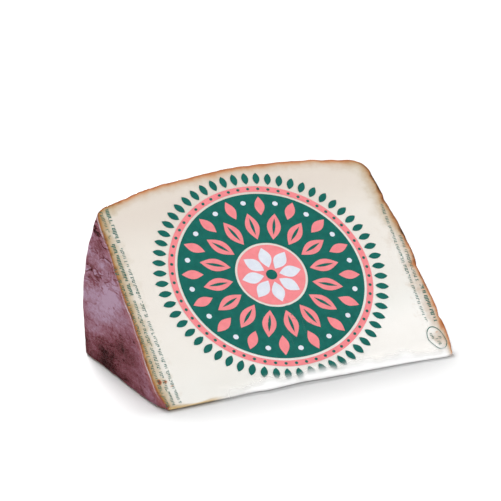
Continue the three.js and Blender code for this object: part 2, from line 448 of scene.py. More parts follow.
# ---------------------------------------------------------------- mesh of the wedge
def crowded(count, crowding):
    """count + 1 places from 0 to 1, gathered towards both ends."""
    even = np.linspace(0, 1, count + 1)
    return even - crowding * np.sin(2 * math.pi * even) / (2 * math.pi)


SPINE_HALF_LENGTH = 32.0
SPINE_REACH = 0.62 * RIM_RADIUS
SPINE_TIP_SHARE = 0.2  # how much of that reach is left for points at the tip edge
SEARCH_START = 0.4  # shares of the way from the spine to the sharp wedge
SEARCH_PAST = 9.0  # how far beyond the sharp wedge the search goes
SEARCH_STEPS = 22

# Rows up a cut face and round the heel, and columns along the wedge.
WRAP_GRID = (110, 60, 280)
CHEESE_GRID = (110, 60, 190)


def onto_surface(points, outside):
    """Moves points onto the surface, along lines of sight from a spine that runs inside."""
    from_tip = np.clip(np.hypot(points[:, 1], points[:, 2]) / RIM_RADIUS, 0, 1)
    reach = SPINE_REACH * (SPINE_TIP_SHARE + (1 - SPINE_TIP_SHARE) * from_tip)
    spine = np.empty_like(points)
    spine[:, 0] = np.clip(points[:, 0], -SPINE_HALF_LENGTH, SPINE_HALF_LENGTH)
    spine[:, 1] = reach * math.cos(WEDGE_ANGLE / 2)
    spine[:, 2] = reach * math.sin(WEDGE_ANGLE / 2)
    inside = np.full(len(points), SEARCH_START)
    beyond = 1 + SEARCH_PAST / np.linalg.norm(points - spine, axis=1)
    for _ in range(SEARCH_STEPS):
        share = (inside + beyond) / 2
        at = spine + (points - spine) * share[:, None]
        under = outside(at[:, 0], at[:, 1], at[:, 2]) < 0
        inside = np.where(under, share, inside)
        beyond = np.where(under, beyond, share)
    return spine + (points - spine) * inside[:, None]


def zip_rows(near, far):
    """Triangles between two rows of point numbers that run the same way."""
    i = j = 0
    while i < len(near) - 1 or j < len(far) - 1:
        next_near = (i + 1) / max(len(near) - 1, 1)
        next_far = (j + 1) / max(len(far) - 1, 1)
        if j == len(far) - 1 or (i < len(near) - 1 and next_near < next_far):
            yield near[i], near[i + 1], far[j]
            i += 1
        else:
            yield near[i], far[j + 1], far[j]
            j += 1


def wedge_mesh(outside, face_rows, heel_rows, columns):
    """Points and faces of the wedge whose skin is where outside is 0."""
    rows = crowded(face_rows, 0.75)
    arc = WEDGE_ANGLE * (1 - crowded(heel_rows, 0.55))
    slope = [(share, WEDGE_ANGLE) for share in rows[:-1]]
    heel = [(1.0, turn) for turn in arc]
    floor = [(share, 0.0) for share in rows[-2:0:-1]]
    outline = np.array(slope + heel + floor)
    places = 2 * crowded(columns, 0.45) - 1
    ring = len(outline)

    share, turn = np.tile(outline, (len(places), 1)).T
    place = np.repeat(places, ring)
    faces = []
    numbers = np.arange(len(places) * ring).reshape(len(places), ring)
    here, after = numbers[:-1], numbers[1:]
    turned = np.roll(numbers, -1, axis=1)
    quads = np.stack([here, after, turned[1:], turned[:-1]], axis=-1).reshape(-1, 4)
    faces.extend(quads.tolist())

    extra = []
    for end, first in ((-1.0, numbers[0]), (1.0, numbers[-1])):
        arcs = [[int(first[0])]]
        for k in range(1, face_rows):
            steps = max(1, round(heel_rows * rows[k]))
            inner = WEDGE_ANGLE * (1 - crowded(steps, 0.55)[1:-1])
            start = len(place) + len(extra)
            extra.extend((end, rows[k], angle) for angle in inner)
            arcs.append([int(first[k]), *range(start, start + len(inner)), int(first[ring - k])])
        arcs.append([int(n) for n in first[face_rows : face_rows + heel_rows + 1]])
        for near, far in zip(arcs, arcs[1:]):
            for a, b, c in zip_rows(near, far):
                faces.append((a, c, b) if end < 0 else (a, b, c))

    extra = np.array(extra)
    place = np.concatenate([place, extra[:, 0]])
    share = np.concatenate([share, extra[:, 1]])
    turn = np.concatenate([turn, extra[:, 2]])
    radius = share * heel_radius(place * WHEEL_HEIGHT / 2)
    sharp = np.stack(
        [place * face_half_height(radius), radius * np.cos(turn), radius * np.sin(turn)], axis=1
    )
    return onto_surface(sharp, outside), faces


def add_mesh(name, points, faces, material):
    mesh = bpy.data.meshes.new(name)
    mesh.from_pydata((points * MM).tolist(), [], faces)
    mesh.polygons.foreach_set("use_smooth", [True] * len(mesh.polygons))
    mesh.materials.append(material)
    mesh.update()
    piece = bpy.data.objects.new(name, mesh)
    bpy.context.scene.collection.objects.link(piece)
    return piece


def add_attributes(piece, named_values):
    for name, values in named_values.items():
        layer = piece.data.attributes.new(name, "FLOAT", "POINT")
        layer.data.foreach_set("value", np.asarray(values, dtype=np.float32))


# ---------------------------------------------------------------- colours and nodes
def colour(code):
    """Linear colour of an sRGB hex value."""
    parts = [int(code[k : k + 2], 16) / 255 for k in (1, 3, 5)]
    linear = [p / 12.92 if p <= 0.04045 else ((p + 0.055) / 1.055) ** 2.4 for p in parts]
    return (*linear, 1.0)


def add(tree, kind, inputs=None, out=None, stops=(), **settings):
    """Adds a node with its settings, and sets or links its inputs by name or number.

    Hex values are colours, also in a colour ramp's stops. Gives the node, or its output out.
    """
    node = tree.nodes.new(kind)
    for key, value in settings.items():
        setattr(node, key, value)
    for key, value in (inputs or {}).items():
        if isinstance(value, bpy.types.NodeSocket):
            tree.links.new(value, node.inputs[key])
        else:
            node.inputs[key].default_value = colour(value) if isinstance(value, str) else value
    for k, (place, code) in enumerate(stops):
        elements = node.color_ramp.elements
        element = elements[k] if k < 2 else elements.new(place)
        element.position = place
        element.color = colour(code)
    return node if out is None else node.outputs[out]


def new_material(name):
    """A material with an empty tree of nodes, and that tree."""
    material = bpy.data.materials.new(name)
    material.use_nodes = True
    material.node_tree.nodes.clear()
    return material, material.node_tree


# Patterns are sized in millimetres and read Object coordinates, which are in metres.
PER_MM = 1 / MM

MATH = "ShaderNodeMath"
RANGE = "ShaderNodeMapRange"  # a value from input 1 to input 2 becomes input 3 to input 4
MIX = "ShaderNodeMix"
NOISE = "ShaderNodeTexNoise"
RAMP = "ShaderNodeValToRGB"
MAPPING = "ShaderNodeMapping"
VECTOR = "ShaderNodeVectorMath"
COMBINE = "ShaderNodeCombineXYZ"
SEPARATE = "ShaderNodeSeparateXYZ"


def rind_creases(tree, at):
    """Thin, roughly level creases of the rind and the lip above each, 0 to 1; the cheese paints shade
    into the creases and a highlight onto the lips.
    """
    level = add(tree, MAPPING, {"Vector": at, "Rotation": (0.1, 0, 0), "Scale": (1, 0.25, 1)}, 0)
    wave = {"Vector": level, "Scale": PER_MM / 3.8, "Detail": 2.5, "Distortion": 0.5}
    wave = add(tree, NOISE, wave, "Fac")
    lines = []
    for place, full, none in ((0.5, 0.01, 0.045), (0.56, 0.0, 0.03)):
        off = add(tree, MATH, {0: wave, 1: place}, 0, operation="SUBTRACT")
        off = add(tree, MATH, {0: off}, 0, operation="ABSOLUTE")
        lines.append(add(tree, RANGE, {"Value": off, 1: full, 2: none, 3: 1.0, 4: 0.0}, 0))
    return lines


# The tan edge of the paste, from the rind inwards: along the heel, and down the sides.
HEEL_EDGE = (
    (0.0, "#84401F"), (0.028, "#9C5526"), (0.052, "#BA774A"), (0.08, "#C4865F"), (0.125, "#CDA07E"),
    (0.175, "#D0B49A"), (0.25, "#D5C5B5"), (0.4, "#DFD5CA"), (1.0, "#E9E2D8"),
)
SIDE_EDGE = (
    (0.0, "#6A2F18"), (0.02, "#8A5230"), (0.05, "#9C683D"), (0.095, "#B0875A"), (0.145, "#B79D79"),
    (0.22, "#C5B296"), (0.38, "#D5CAB8"), (0.52, "#DFD7CB"), (1.0, "#E9E2D8"),
)
# The ivory of the paste, from the palest, low at the right where light is painted in, to ripe.
IVORY = ((0.0, "#F8F6F2"), (0.15, "#EFEEE9"), (0.35, "#EDE8E1"), (0.55, "#E8E1D8"), (1.0, "#E1D7CD"))
STAIN = ((0.35, "#D08A48"), (0.65, "#98452B"), (1.0, "#5C2419"))
# The rind's skin, from dark to pale lavender; its darkest places are partly painted shade and its palest
# partly painted sheen.
SKIN = (
    (0.0, "#2F1516"), (0.12, "#482124"), (0.24, "#5F3338"), (0.37, "#724149"), (0.5, "#80515C"),
    (0.62, "#8D606D"), (0.76, "#977384"), (0.88, "#A18295"), (1.0, "#AA8DA1"),
)
DARK_PATCH = "#2A2119"


def cheese_material(attributes):
    """Firm mixed milk cheese, brined and aged.

    The paste is smooth and matt, ivory with a tan edge, paler at the lower right by painted light;
    the rind is a dusty mauve brown skin with fine creases and pits, with painted shade in them and a
    painted highlight beside each crease, and painted reflections as pale lavender and dark places.
    The film lies close on all of it, so nothing here shines by itself.
    """
    material, tree = new_material("cheese_paste_and_rind")
    at = add(tree, "ShaderNodeTexCoord", None, "Object")
    own = {
        name: add(tree, "ShaderNodeAttribute", None, "Fac", attribute_name=name)
        for name in attributes
    }
    # The rind's patterns are drawn out along Y, so level, as its skin was pressed in the mould.
    level = add(tree, MAPPING, {"Vector": at, "Scale": (1, 0.3, 1)}, 0)
    grain_at = add(tree, MAPPING, {"Vector": at, "Scale": (1, 0.5, 1)}, 0)
    cloud = {}
    for name, place, size_mm, detail, roughness, low, high, start, end in (
        ("wobble", at, 4.0, 5.0, 0.6, 0.35, 0.65, 0.6, -0.4),
        ("mottle", at, 11.0, 4.0, 0.5, 0.3, 0.7, 0.0, 0.16),
        ("blotch", at, 2.4, 4.0, 0.62, 0.5, 0.6, 0.0, 1.0),
        ("ragged", at, 1.4, 4.0, 0.5, 0.42, 0.54, 0.35, 1.0),
        ("seep", at, 1.3, 3.0, 0.5, 0.0, 1.0, 0.0, 0.5),
        ("grain", grain_at, 1.0, 5.0, 0.66, 0.0, 1.0, 0.0, 1.0),
        ("lumps", level, 3.4, 3.0, 0.55, 0.0, 1.0, -0.5, 0.0),
        ("creased_area", level, 6.0, 3.0, 0.5, 0.38, 0.56, 0.0, 1.0),
        ("pitted_area", level, 9.0, 3.0, 0.5, 0.46, 0.58, 0.0, 1.0),
    ):
        drawn = {"Vector": place, "Scale": PER_MM / size_mm, "Detail": detail, "Roughness": roughness}
        value = add(tree, NOISE, drawn, "Fac")
        cloud[name] = add(tree, RANGE, {"Value": value, 1: low, 2: high, 3: start, 4: end}, 0)

    # The edge of the cut, in tenths of a millimetre to centimetres of depth: brown skin, amber,
    # then tan or khaki that fades to ivory.
    wobble = {0: cloud["wobble"], 1: own["edge_wobble"], 2: 1.0}
    wobble = add(tree, MATH, wobble, 0, operation="MULTIPLY_ADD")
    depth = add(tree, MATH, {0: own["rind_depth"], 1: wobble}, 0, operation="MULTIPLY")
    band = add(tree, MATH, {0: depth, 1: own["edge_reach"]}, 0, operation="DIVIDE")
    heel_edge = add(tree, RAMP, {"Fac": band}, "Color", HEEL_EDGE)
    side_edge = add(tree, RAMP, {"Fac": band}, "Color", SIDE_EDGE)
    edge = {0: own["edge_side"], 6: heel_edge, 7: side_edge}
    edge = add(tree, MIX, edge, 2, data_type="RGBA")
    ivory = add(tree, RAMP, {"Fac": own["ripeness_and_painted_light"]}, "Color", IVORY)
    ivory = {0: cloud["mottle"], 6: ivory, 7: "#E0D6C9"}
    ivory = add(tree, MIX, ivory, 2, data_type="RGBA")
    beyond_edge = add(tree, RANGE, {"Value": band, 1: 0.4, 2: 0.75}, 0)

    near_rind = {0: own["rind_depth"], 1: own["edge_reach"]}
    near_rind = add(tree, MATH, near_rind, 0, operation="DIVIDE")
    blotch = add(tree, RANGE, {"Value": near_rind, 1: 0.17, 2: 0.06}, 0)
    blotchy = add(tree, RANGE, {"Value": own["edge_side"], 3: 0.1, 4: 0.55}, 0)
    for factor in (blotchy, cloud["blotch"]):
        blotch = add(tree, MATH, {0: blotch, 1: factor}, 0, operation="MULTIPLY")
    patch = add(tree, RANGE, {"Value": depth, 1: 1.8, 2: 0.5}, 0)
    for factor in (own["edge_patches"], cloud["ragged"]):
        patch = add(tree, MATH, {0: patch, 1: factor}, 0, operation="MULTIPLY")
    soaked = add(tree, MATH, {0: own["brown_stain"], 1: cloud["seep"]}, 0, operation="ADD")
    soaked = add(tree, RANGE, {"Value": soaked, 1: 0.5, 2: 0.8, 4: 0.9}, 0)
    stain = add(tree, RAMP, {"Fac": own["brown_stain"]}, "Color", STAIN)
    paste = edge
    for share, over in (
        (beyond_edge, ivory),
        (blotch, "#553A2B"),
        (patch, DARK_PATCH),
        (soaked, stain),
        (own["tip_tan"], "#BC9C5F"),
    ):
        paste = add(tree, MIX, {0: share, 6: paste, 7: over}, 2, data_type="RGBA")

    # The rind: its tone, with painted shade in its creases and pits, plus a painted highlight on the lip
    # beside each crease.
    uneven = {0: cloud["grain"], 1: 0.5, 2: cloud["lumps"]}
    uneven = add(tree, MATH, uneven, 0, operation="MULTIPLY_ADD")
    rugged = add(tree, MATH, {0: own["rind_creasing"], 1: 1.2, 2: 1.0}, 0, operation="MULTIPLY_ADD")
    tone = add(tree, MATH, {0: uneven, 1: rugged, 2: own["rind_tone_and_painted_light"]}, 0, operation="MULTIPLY_ADD")
    crease, lip = rind_creases(tree, at)
    creased = {0: cloud["creased_area"], 1: own["rind_creasing"]}
    creased = add(tree, MATH, creased, 0, operation="MULTIPLY")
    crease = add(tree, MATH, {0: crease, 1: creased}, 0, operation="MULTIPLY")
    lip = add(tree, MATH, {0: lip, 1: creased}, 0, operation="MULTIPLY")
    cells = add(tree, "ShaderNodeTexVoronoi", {"Vector": level, "Scale": PER_MM / 2.6}, "Distance")
    pit = add(tree, RANGE, {"Value": cells, 1: 0.08, 2: 0.2, 3: 1.0, 4: 0.0}, 0)
    pit = add(tree, MATH, {0: pit, 1: cloud["pitted_area"]}, 0, operation="MULTIPLY")
    hollow = add(tree, MATH, {0: crease, 1: pit}, 0, operation="MAXIMUM")
    # Painted shade darkens the creases and pits; a painted highlight pales the lips beside the creases.
    for change, strength in ((hollow, -0.5), (lip, 0.3)):
        tone = add(tree, MATH, {0: change, 1: strength, 2: tone}, 0, operation="MULTIPLY_ADD")
    skin = add(tree, RAMP, {"Fac": tone}, "Color", SKIN)
    dark_rim = add(tree, MATH, {0: own["edge_patches"], 1: 0.8}, 0, operation="MULTIPLY")
    on_cut = add(tree, RANGE, {"Value": own["rind_depth"], 1: 0.1, 2: 0.4}, 0)
    for share, over in (
        (own["beside_cut"], "#98544E"),
        (own["brown_line"], "#8E4A30"),
        (dark_rim, DARK_PATCH),
        (on_cut, paste),
    ):
        skin = add(tree, MIX, {0: share, 6: skin, 7: over}, 2, data_type="RGBA")

    relief = add(tree, MATH, {0: cloud["grain"], 1: 0.8}, 0, operation="MULTIPLY")
    relief = add(tree, MATH, {0: relief, 1: hollow}, 0, operation="SUBTRACT")
    rough_skin = add(tree, RANGE, {"Value": on_cut, 3: 1.0, 4: 0.05}, 0)
    relief = add(tree, MATH, {0: relief, 1: rough_skin}, 0, operation="MULTIPLY")
    bump = {"Height": relief, "Strength": 0.6, "Distance": 0.35 * MM}
    finish = {
        "Base Color": skin,
        "Roughness": add(tree, RANGE, {"Value": on_cut, 3: 0.7, 4: 0.55}, 0),
        "IOR": 1.45,
        "Specular IOR Level": 0.0,
        "Normal": add(tree, "ShaderNodeBump", bump, 0),
    }
    shader = add(tree, "ShaderNodeBsdfPrincipled", finish, 0)
    add(tree, "ShaderNodeOutputMaterial", {"Surface": shader})
    return material


def film_material():
    """Shrink film, blown clear polyamide and polyethylene: clear, smooth and glossy.

    It follows the rind's creases, dulled by the rind's dust, and its slack strip at the tip edge is
    several layers deep and milky, with a painted highlight in its white; a thin painted highlight runs
    as white along the left edge of the cut.
    """
    material, tree = new_material("clear_shrink_film")
    at = add(tree, "ShaderNodeTexCoord", None, "Object")
    slack = add(tree, "ShaderNodeAttribute", None, "Fac", attribute_name="slack")
    over_rind = add(tree, "ShaderNodeAttribute", None, "Fac", attribute_name="over_rind")
    soft_waves = {"Vector": at, "Scale": PER_MM / 9.0, "Detail": 2.0}
    soft_waves = add(tree, NOISE, soft_waves, "Fac")
    soft_waves = add(tree, MATH, {0: soft_waves, 1: 0.5}, 0, operation="MULTIPLY")
    grain = {"Vector": at, "Scale": PER_MM / 1.6, "Detail": 4.0, "Roughness": 0.6}
    grain = add(tree, NOISE, grain, "Fac")
    creased = {0: grain, 1: rind_creases(tree, at)[0]}
    creased = add(tree, MATH, creased, 0, operation="SUBTRACT")
    lie = add(tree, MATH, {0: creased, 1: over_rind, 2: soft_waves}, 0, operation="MULTIPLY_ADD")
    bump = add(tree, "ShaderNodeBump", {"Height": lie, "Strength": 0.4, "Distance": 0.3 * MM}, 0)
    clear = add(tree, "ShaderNodeBsdfTransparent", None, 0)
    gloss = add(tree, "ShaderNodeBsdfGlossy", {"Roughness": 0.14, "Normal": bump}, 0)
    milk = add(tree, "ShaderNodeBsdfDiffuse", {"Color": "#FFFFFF"}, 0)
    # The white diffuse layer is the milky strip along the tip edge with a painted highlight in it, and
    # the painted highlight along the left edge of the cut.
    milky = add(tree, MATH, {0: slack, 1: 0.85}, 0, operation="MULTIPLY")
    body = add(tree, "ShaderNodeMixShader", {0: milky, 1: clear, 2: milk}, 0)
    steep = add(tree, "ShaderNodeLayerWeight", {"Blend": 0.5, "Normal": bump}, "Facing")
    steep = add(tree, MATH, {0: steep, 1: 5.0}, 0, operation="POWER")
    mirror = add(tree, RANGE, {"Value": steep, 3: 0.04, 4: 1.0}, 0)
    clean = add(tree, RANGE, {"Value": over_rind, 3: 1.0, 4: 0.05}, 0)
    mirror = add(tree, MATH, {0: mirror, 1: clean}, 0, operation="MULTIPLY")
    both = add(tree, "ShaderNodeMixShader", {0: mirror, 1: body, 2: gloss}, 0)
    add(tree, "ShaderNodeOutputMaterial", {"Surface": both})
    return material


def ink_material(name, code, deeper):
    """Flexographic ink on the film: flat, even colour with a faint mottle where it dried."""
    material, tree = new_material(name)
    at = add(tree, "ShaderNodeTexCoord", None, "Object")
    mottle = add(tree, NOISE, {"Vector": at, "Scale": PER_MM / 2.2, "Detail": 3.0}, "Fac")
    tone = add(tree, RAMP, {"Fac": mottle}, "Color", ((0.3, deeper), (0.7, code)))
    finish = {"Base Color": tone, "Roughness": 0.5, "IOR": 1.45, "Specular IOR Level": 0.1}
    shader = add(tree, "ShaderNodeBsdfPrincipled", finish, 0)
    add(tree, "ShaderNodeOutputMaterial", {"Surface": shader})
    return material


# ---------------------------------------------------------------- print
# The print is laid out flat, in millimetres: X across the face and Y up it from the tip edge.
ROSETTE_CENTRE = (0.4, 43.5)
SEAM = 0.01  # points closer than this are one


def new_tree(name, sizes):
    """An empty node group with a Geometry output and the named sizes as inputs."""
    tree = bpy.data.node_groups.new(name, "GeometryNodeTree")
    kinds = {int: "NodeSocketInt", float: "NodeSocketFloat", tuple: "NodeSocketVector"}
    for key, value in sizes.items():
        kind = value if isinstance(value, str) else kinds[type(value)]
        socket = tree.interface.new_socket(key, in_out="INPUT", socket_type=kind)
        if not isinstance(value, str):
            socket.default_value = value
    tree.interface.new_socket("Geometry", in_out="OUTPUT", socket_type="NodeSocketGeometry")
    given = tree.nodes.new("NodeGroupInput").outputs
    return tree, given


def end_tree(tree, geometry):
    add(tree, "NodeGroupOutput", {"Geometry": geometry})
    return tree


def band_tree():
    """A flat ring or disc, as a grid bent round its middle."""
    tree, given = new_tree("printed_band", {"Inner": 1.0, "Outer": 2.0, "Rows": 4, "Steps": 96})
    grid = {"Size X": 1.0, "Size Y": 1.0, "Vertices X": given["Rows"], "Vertices Y": given["Steps"]}
    grid = add(tree, "GeometryNodeMeshGrid", grid, "Mesh")
    at = add(tree, SEPARATE, {0: add(tree, "GeometryNodeInputPosition", None, 0)})
    radius = {"Value": at.outputs["X"], 1: -0.5, 2: 0.5, 3: given["Inner"], 4: given["Outer"]}
    radius = add(tree, RANGE, radius, 0)
    turn = add(tree, RANGE, {"Value": at.outputs["Y"], 1: -0.5, 2: 0.5, 4: 2 * math.pi}, 0)
    cosine = add(tree, MATH, {0: turn}, 0, operation="COSINE")
    sine = add(tree, MATH, {0: turn}, 0, operation="SINE")
    way = add(tree, COMBINE, {"X": cosine, "Y": sine}, 0)
    place = add(tree, VECTOR, {0: way, "Scale": radius}, 0, operation="SCALE")
    bent = add(tree, "GeometryNodeSetPosition", {"Geometry": grid, "Position": place}, 0)
    closed = {"Geometry": bent, "Distance": SEAM}
    return end_tree(tree, add(tree, "GeometryNodeMergeByDistance", closed, 0))


def petal_tree():
    """A ring of petals, each a grid drawn in to a point or a round at both ends."""
    tree, given = new_tree(
        "printed_petals",
        {
            "Count": 12, "Radius": 10.0, "Length": 8.0, "Width": 3.0, "Lean": 0.0, "Turn": 0.0,
            "Fullness": 1.0, "Rows": 12,
        },
    )
    grid = {"Size X": 1.0, "Size Y": 1.0, "Vertices X": given["Rows"], "Vertices Y": 7}
    grid = add(tree, "GeometryNodeMeshGrid", grid, "Mesh")
    at = add(tree, SEPARATE, {0: add(tree, "GeometryNodeInputPosition", None, 0)})
    along = add(tree, MATH, {0: at.outputs["X"], 1: 0.5}, 0, operation="ADD")
    across = add(tree, MATH, {0: along, 1: math.pi}, 0, operation="MULTIPLY")
    across = add(tree, MATH, {0: across}, 0, operation="SINE")
    across = add(tree, MATH, {0: across, 1: 0.0}, 0, operation="MAXIMUM")
    across = add(tree, MATH, {0: across, 1: given["Fullness"]}, 0, operation="POWER")
    for factor in (at.outputs["Y"], given["Width"]):
        across = add(tree, MATH, {0: factor, 1: across}, 0, operation="MULTIPLY")
    along = add(tree, MATH, {0: along, 1: given["Length"]}, 0, operation="MULTIPLY")
    place = add(tree, COMBINE, {"X": along, "Y": across}, 0)
    bent = add(tree, "GeometryNodeSetPosition", {"Geometry": grid, "Position": place}, 0)
    petal = {"Geometry": bent, "Distance": SEAM}
    petal = {
        "Geometry": add(tree, "GeometryNodeMergeByDistance", petal, 0),
        "Translation": add(tree, COMBINE, {"X": given["Radius"]}, 0),
        "Rotation": add(tree, COMBINE, {"Z": given["Lean"]}, 0),
    }
    petal = add(tree, "GeometryNodeTransform", petal, 0)
    step = add(tree, MATH, {0: 2 * math.pi, 1: given["Count"]}, 0, operation="DIVIDE")
    number = add(tree, "GeometryNodeInputIndex", None, 0)
    turn = {0: number, 1: step, 2: given["Turn"]}
    turn = add(tree, COMBINE, {"Z": add(tree, MATH, turn, 0, operation="MULTIPLY_ADD")}, 0)
    around = {
        "Points": add(tree, "GeometryNodePoints", {"Count": given["Count"]}, 0),
        "Instance": petal,
        "Rotation": add(tree, "FunctionNodeEulerToRotation", {0: turn}, 0),
    }
    around = add(tree, "GeometryNodeInstanceOnPoints", around, 0)
    return end_tree(tree, add(tree, "GeometryNodeRealizeInstances", {0: around}, 0))


def dash_tree():
    """A row of small upright bars of uneven height, with gaps."""
    tree, given = new_tree(
        "printed_dashes",
        {"Count": 40, "Step": (0.0, 1.0, 0.0), "Bar": (1.0, 0.5, 1.0), "Share": 0.85, "Seed": 1},
    )
    line = {"Count": given["Count"], "Offset": given["Step"]}
    grid = {"Size X": 1.0, "Size Y": 1.0, "Vertices X": 3, "Vertices Y": 2}
    bar = {
        "Geometry": add(tree, "GeometryNodeMeshGrid", grid, "Mesh"),
        "Translation": (-0.5, 0.0, 0.0),
    }
    there = {"Probability": given["Share"], "Seed": given["Seed"]}
    height = {2: 0.5, 3: 1.0, "Seed": given["Seed"]}
    height = add(tree, "FunctionNodeRandomValue", height, 1, data_type="FLOAT")
    grown = {0: given["Bar"], 1: add(tree, COMBINE, {"X": height, "Y": 1.0, "Z": 1.0}, 0)}
    row = {
        "Points": add(tree, "GeometryNodeMeshLine", line, 0, mode="OFFSET"),
        "Selection": add(tree, "FunctionNodeRandomValue", there, 3, data_type="BOOLEAN"),
        "Instance": add(tree, "GeometryNodeTransform", bar, 0),
        "Scale": add(tree, VECTOR, grown, 0, operation="MULTIPLY"),
    }
    row = add(tree, "GeometryNodeInstanceOnPoints", row, 0)
    return end_tree(tree, add(tree, "GeometryNodeRealizeInstances", {0: row}, 0))


def lay_tree():
    """Tips the flat print onto the sloping face and lets it down onto the film."""
    tree, given = new_tree(
        "laid_on_the_wrap",
        {
            "Flat": "NodeSocketGeometry", "Wrap": "NodeSocketObject", "Axis": (0.0, 0.0, 0.0),
            "Slope": 0.0, "Depth": 0.0,
        },
    )
    # The height of each layer of ink is kept from the flat print.
    layer = add(tree, "GeometryNodeCaptureAttribute", {"Geometry": given["Flat"]}, domain="POINT")
    layer.capture_items.new("FLOAT", "Height")
    flat_at = add(tree, SEPARATE, {0: add(tree, "GeometryNodeInputPosition", None, 0)}, "Z")
    tree.links.new(flat_at, layer.inputs["Height"])
    tip = add(tree, COMBINE, {"X": given["Slope"]}, 0)
    raised = {
        "Geometry": layer.outputs["Geometry"], "Translation": given["Axis"], "Rotation": tip,
        "Scale": (MM, MM, MM),
    }
    raised = add(tree, "GeometryNodeTransform", raised, 0)

    outward = {"Vector": (0, 0, 1), "Rotation": tip}
    outward = add(tree, "ShaderNodeVectorRotate", outward, 0, rotation_type="EULER_XYZ")
    inward = add(tree, VECTOR, {0: outward, "Scale": -1.0}, 0, operation="SCALE")
    clearance = add(tree, VECTOR, {0: outward, "Scale": 8 * MM}, 0, operation="SCALE")
    start = {0: add(tree, "GeometryNodeInputPosition", None, 0), 1: clearance}
    ray = {
        "Target Geometry": add(tree, "GeometryNodeObjectInfo", {"Object": given["Wrap"]}, "Geometry"),
        "Source Position": add(tree, VECTOR, start, 0, operation="ADD"),
        "Ray Direction": inward,
        "Ray Length": 20 * MM,
    }
    ray = add(tree, "GeometryNodeRaycast", ray)
    below = add(tree, MATH, {0: layer.outputs["Height"], 1: MM}, 0, operation="MULTIPLY")
    below = add(tree, MATH, {0: given["Depth"], 1: below}, 0, operation="SUBTRACT")
    sink = add(tree, VECTOR, {0: inward, "Scale": below}, 0, operation="SCALE")
    under = add(tree, VECTOR, {0: ray.outputs["Hit Position"], 1: sink}, 0, operation="ADD")
    laid = {"Geometry": raised, "Selection": ray.outputs["Is Hit"], "Position": under}
    return end_tree(tree, add(tree, "GeometryNodeSetPosition", laid, 0))


def shape(kind, at, layer=0, turn=0.0, stretch=(1.0, 1.0), **sizes):
    """One printed shape: what it is, where it lies, on which layer of ink, and its sizes."""
    return {"kind": kind, "at": at, "layer": layer, "turn": turn, "stretch": stretch, "sizes": sizes}


def ring(count, radius, length, width, layer, offset=0.0, **more):
    """A ring of petals round the rosette's middle; offset is in shares of one petal's turn."""
    turn = offset * 2 * math.pi / count
    return shape(
        "petals", ROSETTE_CENTRE, layer, Count=count, Radius=radius, Length=length, Width=width,
        Turn=turn, **more,
    )


def band(inner, outer, layer, rows=4):
    """A ring, or a disc where inner is 0, round the rosette's middle."""
    return shape("band", ROSETTE_CENTRE, layer, Inner=inner, Outer=outer, Rows=rows, Steps=361)


def bar_line(x, low, high, seed, lean=0.0, bold=False):
    """A line of plain bars and strokes up the side of the face."""
    step, wide, tall, filled = (0.64, 0.34, 1.5, 0.86) if bold else (0.66, 0.21, 1.2, 0.8)
    bars = (0.0, step, wide, tall, filled)
    low_strokes = (0.0, 1.9 * step, 1.1 * step, 0.22, 0.4)
    high_strokes = (0.7 * tall, 2.3 * step, 1.1 * step, 0.22, 0.4)
    lines = (bars, low_strokes, high_strokes)
    for number, (off, apart, length, height, share) in enumerate(lines):
        yield shape(
            "dashes", (x - off, low), turn=-math.radians(lean), Count=round((high - low) / apart),
            Step=(0.0, apart, 0.0), Bar=(height, length, 1.0), Share=share, Seed=seed + number,
        )


def motifs():
    """Each ink's shapes."""
    green = [
        ring(60, 37.4, 4.9, 2.5, 0, Fullness=0.75, Rows=9),
        band(13.0, 33.4, 0, rows=38),
        ring(60, 34.85, 1.2, 1.2, 1, Fullness=0.5, Rows=7),
        ring(16, 16.6, 7.0, 1.1, 2),
        band(0.0, 2.0, 3),
        *bar_line(-48.1, 66, 81, 3, bold=True),
        *bar_line(-48.2, 2, 65, 5),
        *bar_line(-50.6, 69, 80, 8),
        *bar_line(-50.4, 45, 67, 2, bold=True),
        *bar_line(-50.6, 1.5, 44, 13),
        *bar_line(-52.8, 1.5, 57, 21),
        *bar_line(49.3, 14.5, 64, 34, lean=2.2),
        *bar_line(52.9, 14, 30, 55, lean=1.6, bold=True),
        *bar_line(52.4, 31, 50, 9, lean=2.2),
        shape("band", (49.7, 6.9), 0, 0.0, (0.62, 1.0), Inner=4.75, Outer=5.1, Rows=2, Steps=61),
        *bar_line(48.9, 6.6, 9.8, 1),
        *bar_line(50.2, 4.0, 7.4, 4),
        *bar_line(51.6, 6.0, 9.0, 2),
    ]
    salmon = [
        band(34.3, 36.6, 0),
        band(0.0, 12.2, 0, rows=22),
        ring(16, 14.6, 11.0, 5.0, 1, Rows=24),
        ring(16, 24.4, 7.8, 3.6, 1, offset=0.5, Rows=18),
    ]
    white = [
        ring(16, 28.9, 2.0, 2.0, 1, Fullness=0.5, Rows=7),
        ring(8, 2.9, 8.2, 4.6, 1, Rows=14),
    ]
    return {"green": green, "salmon": salmon, "white": white}


